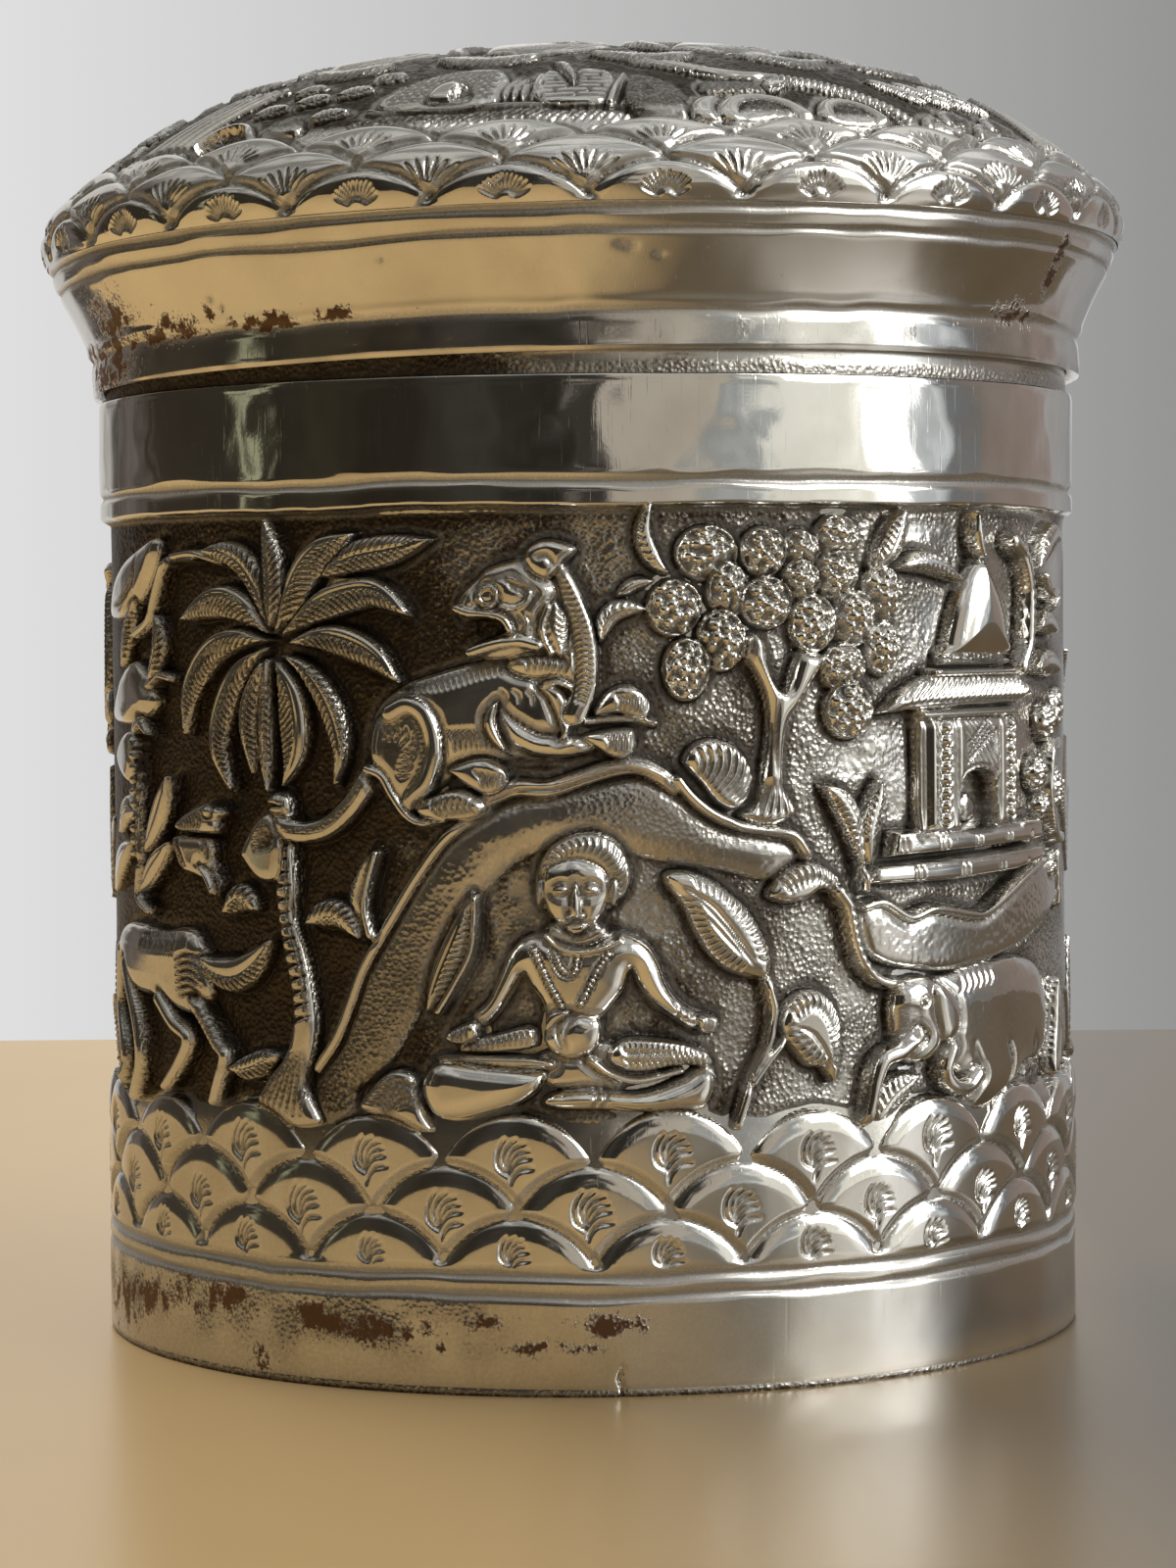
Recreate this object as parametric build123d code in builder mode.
from build123d import *
import os
from math import asin, cos, degrees, radians, sin, sqrt

# A round silver tea caddy with a pull-off lid, in sheet silver, with the main forms of its chasing.
# Millimetres, +Z up, the origin at the centre of the foot.

# Body: one rolled sleeve with plain bands at foot and mouth
body_radius = 46.0          # outside of the plain bands
body_height = 86.8          # table to the shoulder that the lid comes down to
body_sheet = 0.55
foot_band = 8.6             # plain band, from the table to the lower foot line
foot_line_gap = 1.7         # between the two foot lines
scale_border = 13.8         # three rows of scales over the foot lines
mouth_band = 9.2            # plain band, from the upper mouth line to the shoulder
mouth_line_gap = 1.8        # between the two mouth lines
ground_sink = 1.1           # the frieze's ground lies this far inside the bands
ground_slope = 0.8          # height of the step down into the frieze
relief_stand = 0.2          # the chased forms stand this far outside the bands
relief_root = 0.3           # and are rooted this far under the ground

# Chased lines round the body and the lid
line_depth = 0.25
line_half_width = 0.4

# Base: a flat disc let into the sleeve's foot
base_sheet = 0.8
base_recess = 0.7           # from the table up to the disc

# Neck collar: a ring soldered inside the mouth, which the lid slides over
collar_sheet = 0.5
collar_margin = 0.4         # from the upper mouth line's edge up to the collar's lower edge
collar_stand = 8.0          # length above the shoulder
collar_taper = 0.4          # the collar's radius shrinks by this up to its top edge

# Lid: a flared band and a domed top
lid_gap = 1.6               # the lid wedges on the collar this far above the shoulder
lid_clearance = 0.05        # between the lip's bore and the collar where it wedges
lid_sheet = 0.6
lip_height = 3.6            # upright lip, up to the crease
lip_spread = 0.75           # growth of the lip's radius up to the crease
flare_height = 6.1          # crease to the lower lid line
flare_spread = 2.95
flare_hollow = 0.2          # how far the flare bows in
lid_line_gap = 1.8          # height between the two lid lines
lid_line_spread = 0.65      # growth of the radius between them
rim_spread = 0.75           # growth of the radius from the upper lid line to the widest rim
rim_round = 4.0             # radius of the rim's arc
shoulder_round = 42.0       # radius of the arc that follows it
rim_start = -30.0           # where the arcs begin and end: the outward normal's angle
rim_end = 44.0              # above the horizon, in degrees
shoulder_end = 80.0
scales_end = 50.0           # the scales end and the sunk landscape begins at this angle
landscape_sink = 0.5        # the landscape's ground lies this far under the scales
landscape_slope = 1.0       # the step down takes this many degrees
lid_round = 50.0            # places round the lid are lengths along a circle of this radius


def chased_line(radius, height, slope=0.0):
    """Three outline points of a V-shaped line; slope is the wall's growth in radius per height."""
    reach = slope * line_half_width
    return [
        (radius - reach, height - line_half_width),
        (radius - line_depth, height),
        (radius + reach, height + line_half_width),
    ]


def sheet_section(outline, sheet):
    """An outline of outer (radius, height) points, and back along the same points inside it."""
    inside = [(radius - sheet, height) for radius, height in reversed(outline)]
    return [*outline, *inside]


# Body sleeve: foot band, foot lines, scale border, sunk frieze, mouth lines and mouth band
inner_radius = body_radius - body_sheet
frieze_radius = body_radius - ground_sink
foot_line = foot_band + foot_line_gap
frieze_bottom = foot_line + scale_border
mouth_line = body_height - mouth_band
frieze_top = mouth_line - mouth_line_gap - line_half_width

sleeve_outline = [
    (body_radius, 0),
    *chased_line(body_radius, foot_band),
    *chased_line(body_radius, foot_line),
    (body_radius, frieze_bottom),
    (frieze_radius, frieze_bottom + ground_slope),
    (frieze_radius, frieze_top - ground_slope),
    *chased_line(body_radius, mouth_line - mouth_line_gap),
    *chased_line(body_radius, mouth_line),
    (body_radius, body_height),
]

with BuildPart() as plain_sleeve:
    with BuildSketch(Plane.XZ):
        with BuildLine():
            Polyline(*sheet_section(sleeve_outline, body_sheet), close=True)
        make_face()
    revolve(axis=Axis.Z)

# The frieze's main forms, with few faces. Their points are (round, up): lengths round the sleeve from
# the front's middle line, to its right, and heights over the table. Finer chasing is left out.
palm_crown_middle = (-29.4, 64.5)
palm_frond_tips = [
    (-41.0, 56.0), (-42.0, 66.0), (-38.6, 72.2), (-29.4, 75.0), (-20.0, 73.0), (-15.0, 66.4),
    (-17.0, 59.0), (-22.4, 52.0), (-26.6, 51.6), (-32.4, 51.8),
]
palm_waist = 0.36           # the valleys between fronds lie at this share of the way out

berry_radius = 2.2
front_berries = [
    (7.5, 66.8), (8.5, 61.9), (12.0, 65.0), (20.3, 65.4), (10.8, 71.3), (20.0, 70.0), (15.6, 69.0),
    (24.2, 67.8), (23.4, 60.4),
]
right_berries = [(52.4, 54.4), (60.4, 56.0), (61.0, 49.6), (51.8, 48.8)]

palm_trunk = [
    (-32.5, 23.8), (-28.2, 30), (-28.4, 36), (-30.2, 52), (-27.8, 52), (-26, 37), (-25.4, 31),
    (-25.6, 23.8),
]
cat = [
    (-19.4, 52.5), (-19, 58), (-15.5, 61.2), (-8, 62.4), (-10, 64), (-11.4, 67.5), (-8, 70.6),
    (-3.6, 72.4), (-1.2, 70), (0.6, 62), (5.4, 60.4), (4.6, 55), (-3.6, 54.4), (-9.4, 50.6), (-15.6, 49),
]
cat_tail = [
    (-28.4, 47.4), (-24, 47.4), (-20, 50.6), (-18.6, 54), (-21.4, 51.8), (-24.4, 49.4), (-28.4, 49.2),
]
arch = [
    (-27, 23.8), (-21.6, 31), (-18.5, 38), (-12.5, 47), (-7.5, 50.6), (0, 52.8), (7.2, 53), (12, 49.2),
    (18.6, 47.6), (19.6, 45.4), (13, 46.4), (6, 47.8), (-2, 48.2), (-8, 46), (-12.2, 40), (-16.8, 30),
    (-20.5, 23.8),
]
seated_figure = [
    (-14.8, 24.4), (-13.6, 32.4), (-9.8, 33), (-6.4, 38.2), (-3.2, 40), (-4.4, 43.5), (-3.2, 47.2),
    (-0.6, 48), (2, 47.2), (3.1, 43.5), (1.8, 40), (4.6, 38.2), (11.4, 31), (11.2, 24.4),
]
big_leaf = [(16, 34.6), (9.4, 38.4), (6.4, 44.6), (12.6, 43), (16.4, 39)]
low_leaf = [(16.8, 31.3), (19, 34.2), (22.2, 32.1), (21.6, 26.3), (12.6, 23.8), (18, 29.5)]
curled_leaf = [(15.6, 42.2), (18, 44.4), (23, 43), (24.8, 38), (30, 35.4), (24, 35.6), (22.4, 40.4)]
round_leaf = [(8.4, 55.2), (10, 51.8), (13, 50.2), (14.1, 53), (11.6, 55.8)]
berry_trunk = [
    (13.2, 49.6), (15.2, 54), (15.2, 59.6), (12.8, 63.4), (16.2, 60.9), (20.6, 63.6), (17.4, 57),
    (17.2, 52), (18.4, 49.6),
]
temple = [
    (24.8, 43), (27.4, 47.4), (31.4, 47.4), (31.4, 57.8), (28, 58.2), (33.4, 62.6), (38.8, 71.4),
    (41, 71.4), (46.6, 62.6), (50, 58.8), (45.4, 58), (45.4, 47.8), (50.6, 48), (50.6, 44),
]
hill = [(24.8, 40.6), (37.5, 40.4), (42.5, 41.3), (50, 42.4), (47, 38), (38, 36), (26.4, 37.6)]
elephant = [
    (25, 23.8), (25.6, 27.4), (28.4, 33.6), (31, 34.8), (41, 33.8), (50.6, 33.4), (52.4, 29.6), (52, 23.8),
    (45.6, 23.8), (45, 26.4), (40, 27.2), (39.6, 23.8), (34.4, 24.4), (33.6, 28), (30, 27.4),
]
deer = [
    (-58.6, 24), (-59, 36.4), (-54, 39), (-42, 39), (-34.5, 36.6), (-36.6, 33.6), (-35.6, 27),
    (-37.6, 23.8), (-41, 31), (-44.6, 24.2), (-47, 24.2), (-47, 32), (-51.6, 32), (-51, 24),
]
bird = [(-43.6, 45), (-40, 47.4), (-36.8, 44.4), (-35.6, 40.2), (-42.4, 43.4)]
left_spray = [
    (-50.8, 40.4), (-49.4, 45.4), (-42.8, 54.6), (-48.6, 53), (-47.4, 58.2), (-51.4, 56), (-57.6, 53.4),
    (-52.6, 51.6), (-52.4, 40.4),
]
left_branch = [
    (-60, 58.8), (-51, 61.6), (-44, 60.8), (-44, 62.4), (-47, 69), (-49.4, 64.2), (-52, 68.4),
    (-55.4, 63), (-60, 60.6),
]
left_leaf = [(-58, 69.6), (-53, 73), (-44.6, 73.4), (-47, 71.4), (-53, 70.4)]
right_trunk = [(56.4, 44.4), (55, 54.4), (56.6, 60.6), (58.6, 59.8), (57.2, 54), (58.4, 44.4)]
right_vine = [(48.8, 64), (50, 67.4), (46.4, 72.8), (51, 71.4), (56.6, 67.6), (51.4, 66)]
right_leaves = [(53.6, 24.4), (57.4, 35), (58.8, 29.4), (66, 33), (60, 24.4)]
leaf_spray = [
    (7.4, 24.4), (6, 29.6), (2, 31.6), (6.6, 32.8), (8, 37), (9.6, 32.4), (14, 33.2), (10.6, 28.6),
    (9, 24.4),
]


# Slim leaves and stems, each about the line from its start to its end
front_blades = [
    # start, end, half width, how far the middle is bowed to the left of the way
    ((-14.2, 33.2), (-9.9, 43.8), 1.2, -0.5),
    ((-19.6, 38.6), (-18.3, 47.0), 0.9, 0.8),
    ((-25.9, 40.6), (-20.2, 38.0), 1.4, 2.0),
    ((-20.0, 24.0), (-9.4, 24.0), 1.8, 1.6),
    ((-29.2, 39.0), (-37.6, 36.2), 1.2, 1.8),
    ((-36.6, 35.6), (-45.2, 37.6), 1.1, -1.6),
    ((-29.0, 28.0), (-35.6, 27.6), 1.2, 1.0),
    ((-42.8, 48.4), (-35.8, 49.2), 1.0, 0.0),
    ((15.2, 35.6), (12.2, 24.0), 0.6, 1.5),
    ((23.4, 41.4), (27.4, 34.6), 0.6, 0.8),
    ((25.2, 42.0), (24.7, 51.0), 0.7, 0.0),
    ((24.9, 46.0), (20.6, 51.7), 1.1, -1.6),
    ((25.1, 46.5), (27.6, 53.0), 0.9, 0.0),
    ((6.9, 69.2), (5.5, 75.2), 0.8, 1.2),
    ((1.0, 65.8), (5.4, 67.8), 0.9, 0.6),
    ((26.2, 69.8), (29.6, 75.2), 1.2, 0.0),
    ((28.6, 70.2), (36.8, 69.0), 1.0, 0.8),
    ((-49.6, 40.0), (-46.4, 45.8), 1.1, -0.4),
    ((-51.2, 49.0), (-57.6, 46.4), 1.1, -1.2),
    ((-62.0, 40.0), (-63.0, 51.0), 1.6, -1.2),
    ((-56.0, 57.0), (-63.0, 56.0), 1.3, -1.4),
    ((50.0, 70.6), (60.0, 73.0), 1.3, 0.8),
    ((49.4, 61.2), (58.0, 61.0), 1.4, 1.4),
    ((56.6, 38.0), (64.0, 40.6), 1.4, 1.2),
]


def blade(start, end, half_width, bow):
    """A four-sided outline about the line from start to end."""
    run, climb = end[0] - start[0], end[1] - start[1]
    length = sqrt(run ** 2 + climb ** 2)
    across = (-climb / length, run / length)

    def beside(offset):
        return ((start[0] + end[0]) / 2 + offset * across[0], (start[1] + end[1]) / 2 + offset * across[1])

    return [start, beside(bow + half_width), end, beside(bow - half_width)]


def palm_crown():
    """A star with a tip for each frond, and a valley between each two."""
    middle_round, middle_up = palm_crown_middle
    points = []
    for (a, b), (c, d) in zip(palm_frond_tips, palm_frond_tips[1:] + palm_frond_tips[:1]):
        points.append((a, b))
        points.append((
            middle_round + palm_waist * ((a + c) / 2 - middle_round),
            middle_up + palm_waist * ((b + d) / 2 - middle_up),
        ))
    return points


def moved(points, origin, flip, lift):
    """Points mirrored where flip is -1, and moved round and up."""
    return [(origin + flip * around, up + lift) for around, up in points]


def facing(around):
    """A plane through the axis whose normal looks out at a place round the sleeve."""
    azimuth = around / body_radius
    return Plane(
        origin=(0, 0, 0),
        x_dir=(cos(azimuth), sin(azimuth), 0),
        z_dir=(sin(azimuth), -cos(azimuth), 0),
    )


def on_plane(points, middle):
    """The points as seen squarely from outside at the middle place."""
    return [(body_radius * sin((around - middle) / body_radius), up) for around, up in points]


def frieze_form(points):
    """A raised form with a closed outline: a block through the wall, cut to the relief's shell."""
    places = [around for around, up in points]
    middle = (min(places) + max(places)) / 2
    with BuildPart() as block:
        with BuildSketch(facing(middle)):
            with BuildLine():
                Polyline(*on_plane(points, middle), close=True)
            make_face()
        extrude(amount=body_radius + 5)
    return block.part & relief_shell.part


def frieze_berry(place):
    """A round raised form."""
    around, up = place
    with BuildPart() as block:
        with BuildSketch(facing(around)):
            with Locations((0, up)):
                Circle(berry_radius)
        extrude(amount=body_radius + 5)
    return block.part & relief_shell.part


with BuildPart() as relief_shell:
    with BuildSketch(Plane.XY.offset(frieze_bottom)):
        Circle(body_radius + relief_stand)
        Circle(frieze_radius - relief_root, mode=Mode.SUBTRACT)
    extrude(amount=frieze_top - frieze_bottom)

front_forms = [
    palm_crown(), palm_trunk, cat, cat_tail, arch, seated_figure, big_leaf, low_leaf, curled_leaf, round_leaf,
    berry_trunk, temple, hill, elephant, deer, bird, left_spray, left_branch, left_leaf, right_trunk,
    right_vine, right_leaves,
]

# The side turned away is a guess: the same forms mirrored and moved, with sprays of leaves between them
far_forms = [
    # form, origin, flip, lift
    (palm_crown(), 77.5, -1, 0),
    (palm_trunk, 77.5, -1, 0),
    (temple, -78, -1, 0),
    (elephant, -78, -1, 0),
    (berry_trunk, 117, 1, 0),
    (deer, 185, 1, 0),
    (cat, -74, 1, -0.5),
    (bird, 108, -1, -2),
    (leaf_spray, 62, 1, 0),
    (leaf_spray, 70, -1, 18),
    (leaf_spray, -54, 1, 0),
    (leaf_spray, -62, -1, 16),
    (leaf_spray, -88, -1, 2),
]
forms = [frieze_form(points) for points in front_forms]
forms += [frieze_form(blade(*slim)) for slim in front_blades]
forms += [frieze_form(moved(points, origin, flip, lift)) for points, origin, flip, lift in far_forms]
forms += [frieze_berry(place) for place in front_berries + right_berries + moved(front_berries, 117, 1, 0)]

with BuildPart() as body_sleeve:
    add(plain_sleeve.part.fuse(*forms))
body_sleeve.part.label = "body_sleeve"

# Base disc, soldered inside the sleeve and clear of the table
with BuildPart() as base_disc:
    with BuildSketch(Plane.XY.offset(base_recess)):
        Circle(inner_radius)
    extrude(amount=base_sheet)
base_disc.part.label = "base_disc"

# Neck collar, straight where it is soldered in and drawn in above the shoulder
collar_bottom = mouth_line + line_half_width + collar_margin
collar_top = body_height + collar_stand
collar_outline = [
    (inner_radius, collar_bottom),
    (inner_radius, body_height),
    (inner_radius - collar_taper, collar_top),
]

with BuildPart() as neck_collar:
    with BuildSketch(Plane.XZ):
        with BuildLine():
            Polyline(*sheet_section(collar_outline, collar_sheet), close=True)
        make_face()
    revolve(axis=Axis.Z)
neck_collar.part.label = "neck_collar"

# Places on the lid, from the collar that it wedges on outwards and upwards
lid_bottom = body_height + lid_gap
collar_radius_at_lid = inner_radius - collar_taper * lid_gap / collar_stand
lip_bore = collar_radius_at_lid + lid_clearance
lip_radius = lip_bore + lid_sheet
crease = (lip_radius + lip_spread, lid_bottom + lip_height)
lower_line = (crease[0] + flare_spread, crease[1] + flare_height)
upper_line = (lower_line[0] + lid_line_spread, lower_line[1] + lid_line_gap)
flare_middle = (
    (crease[0] + lower_line[0]) / 2 - flare_hollow,
    (crease[1] + lower_line[1]) / 2,
)
seam_height = upper_line[1] + line_half_width
rim_centre = upper_line[0] + rim_spread - rim_round
rim_height = seam_height - rim_round * sin(radians(rim_start))


def seam_radius(inset):
    """Radius of the rim's arc, this far inside its outer surface, at the soldered seam."""
    return rim_centre + sqrt((rim_round - inset) ** 2 - (rim_height - seam_height) ** 2)


shoulder_x = rim_centre + (rim_round - shoulder_round) * cos(radians(rim_end))
shoulder_z = rim_height + (rim_round - shoulder_round) * sin(radians(rim_end))
crown_round = shoulder_round + shoulder_x / cos(radians(shoulder_end))
crown_z = shoulder_z + (shoulder_round - crown_round) * sin(radians(shoulder_end))
landscape_start = scales_end + landscape_slope
landscape_turn = shoulder_end - landscape_start


def on_shoulder(angle, inset):
    """A point of the shoulder's arc, this far inside its outer surface, where its normal has the angle."""
    reach = shoulder_round - inset
    return (shoulder_x + reach * cos(radians(angle)), shoulder_z + reach * sin(radians(angle)))


def dome_outline(inset):
    """Rim, scales, step down, landscape and crown, this far inside the outer surface; returns the top."""
    first = degrees(asin((seam_height - rim_height) / (rim_round - inset)))
    sunk = inset + landscape_sink
    CenterArc((rim_centre, rim_height), rim_round - inset, first, rim_end - first)
    CenterArc((shoulder_x, shoulder_z), shoulder_round - inset, rim_end, scales_end - rim_end)
    Line(on_shoulder(scales_end, inset), on_shoulder(landscape_start, sunk))
    CenterArc((shoulder_x, shoulder_z), shoulder_round - sunk, landscape_start, landscape_turn)
    CenterArc((0, crown_z), crown_round - sunk, shoulder_end, 90 - shoulder_end)
    return crown_z + crown_round - sunk


# Lid dome, raised from a disc: the same outline outside and, a sheet thinner, inside
with BuildPart() as plain_dome:
    with BuildSketch(Plane.XZ):
        with BuildLine():
            crown_top = dome_outline(0)
            dome_ceiling = dome_outline(lid_sheet)
            Line((0, dome_ceiling), (0, crown_top))
            Line((seam_radius(0), seam_height), (seam_radius(lid_sheet), seam_height))
        make_face()
    revolve(axis=Axis.Z)

# The landscape's main forms fill a shell from under its ground up to the scales' own level
lid_top = crown_z + crown_round
shell_root = landscape_sink + relief_root
with BuildPart() as landscape_shell:
    with BuildSketch(Plane.XZ):
        with BuildLine():
            CenterArc((shoulder_x, shoulder_z), shoulder_round, landscape_start, landscape_turn)
            CenterArc((0, crown_z), crown_round, shoulder_end, 90 - shoulder_end)
            Line((0, lid_top), (0, lid_top - shell_root))
            CenterArc((0, crown_z), crown_round - shell_root, shoulder_end, 90 - shoulder_end)
            CenterArc((shoulder_x, shoulder_z), shoulder_round - shell_root, landscape_start, landscape_turn)
            Line(on_shoulder(landscape_start, 0), on_shoulder(landscape_start, shell_root))
        make_face()
    revolve(axis=Axis.Z)

# Points are (round, out): lengths round the rim from the front's middle line, and distances from the axis
thatch = [(-20, 44.2), (-19, 39.4), (-8.6, 39), (-8.2, 44.2)]
planks = [(-4, 44.4), (-4, 39.2), (3.2, 39.2), (3.2, 44.4)]
boulder = [(4.6, 45.2), (5.6, 40.8), (8.6, 41.4), (10, 45.6), (7, 46)]
left_mound = [(13.2, 45.6), (14.4, 43.2), (20.4, 43.2), (21.8, 45.6)]
right_mound = [(23.6, 45.6), (24.6, 43.2), (29.6, 43.2), (30.6, 45.6)]
fallen_trunk = [
    (34.6, 45.2), (32.4, 42.6), (27.6, 40.8), (16.4, 39.2), (6.6, 35.6), (6.4, 37.4), (16.4, 41),
    (27, 42.6), (32.6, 45.4),
]
cave = [(-40.8, 45.6), (-38.4, 43.6), (-35, 43.8), (-32.8, 45.6)]
ribs = [(-49, 45.6), (-43, 38.6), (-36.8, 38.4), (-42.6, 45.4)]
bushes = [(-33.6, 43.2), (-29, 39.4), (-21.6, 38.8), (-24, 43.6), (-29, 44.4)]
far_mounds = [(35.8, 45.4), (38, 43), (45.4, 43.2), (49, 42.4), (50.8, 45.4)]
landscape_forms = [
    thatch, planks, boulder, left_mound, right_mound, fallen_trunk, cave, ribs, bushes, far_mounds,
]
landscape_turns = [0, 103.5, -106]      # the front's landscape, and twice more behind it: a guess

# The crown, a guess: a ring of rocks and a ring of leaves round a rosette
rock = [(-5.4, 27.8), (-3.4, 31.8), (4.4, 31.6), (5.4, 28), (0, 26.8)]
rock_count = 11
crown_leaf = [(0, 13.6), (2, 18.8), (0.2, 24.6), (-2, 19)]
leaf_count = 14
rosette_radius = 7.0


def dome_form(points):
    """A raised form over an outline in plan, cut to the landscape's shell."""
    with BuildPart() as block:
        with BuildSketch(Plane.XY.offset(seam_height)):
            with BuildLine():
                Polyline(*points, close=True)
            make_face()
        extrude(amount=lid_top - seam_height + 1)
    return block.part & landscape_shell.part


def on_rim(points):
    """Places round the rim and out from the axis, in plan."""
    return [(out * sin(around / lid_round), -out * cos(around / lid_round)) for around, out in points]


dome_forms = []
for points in landscape_forms:
    form = dome_form(on_rim(points))
    dome_forms += [Rot(0, 0, degrees(turn / lid_round)) * form for turn in landscape_turns]
for points, count in ((rock, rock_count), (crown_leaf, leaf_count)):
    form = dome_form(points)
    dome_forms += [Rot(0, 0, 360 * number / count) * form for number in range(count)]
with BuildPart() as rosette:
    with BuildSketch(Plane.XY.offset(seam_height)):
        Circle(rosette_radius)
    extrude(amount=lid_top - seam_height + 1)
dome_forms.append(rosette.part & landscape_shell.part)

with BuildPart() as lid_dome:
    add(plain_dome.part.fuse(*dome_forms))
lid_dome.part.label = "lid_dome"

# Lid band: lip, crease, hollow flare, two chased lines and the soldered edge under the dome
lid_slope = lid_line_spread / lid_line_gap
lower_groove = chased_line(*lower_line, lid_slope)
upper_groove = chased_line(*upper_line, lid_slope)

with BuildPart() as lid_band:
    with BuildSketch(Plane.XZ):
        with BuildLine():
            Line((lip_radius, lid_bottom), crease)
            ThreePointArc(crease, flare_middle, lower_groove[0])
            Polyline(*lower_groove, *upper_groove[:2], (seam_radius(0), seam_height))
            Line((seam_radius(0), seam_height), (seam_radius(lid_sheet), seam_height))
            Polyline(
                (seam_radius(lid_sheet), seam_height),
                (upper_groove[1][0] - lid_sheet, upper_groove[1][1]),
                (lower_groove[1][0] - lid_sheet, lower_groove[1][1]),
                (flare_middle[0] - lid_sheet, flare_middle[1]),
                (crease[0] - lid_sheet, crease[1]),
                (lip_bore, lid_bottom),
                (lip_radius, lid_bottom),
            )
        make_face()
    revolve(axis=Axis.Z)
lid_band.part.label = "lid_band"

os.makedirs("parts", exist_ok=True)
for piece in (body_sleeve, base_disc, neck_collar, lid_band, lid_dome):
    export_step(piece.part, f"parts/{piece.part.label}.step")
print("caddy stands", round(lid_top, 2), "mm high and its rim radius is", round(rim_centre + rim_round, 2))
print("faces:", len(body_sleeve.part.faces()), "on the sleeve,", len(lid_dome.part.faces()), "on the dome")
sheet_pieces = (plain_sleeve, base_disc, neck_collar, lid_band, plain_dome)
sheet_volume = sum(piece.part.volume for piece in sheet_pieces)
print("sheet without the raised forms:", round(sheet_volume / 1000, 2), "cm3")
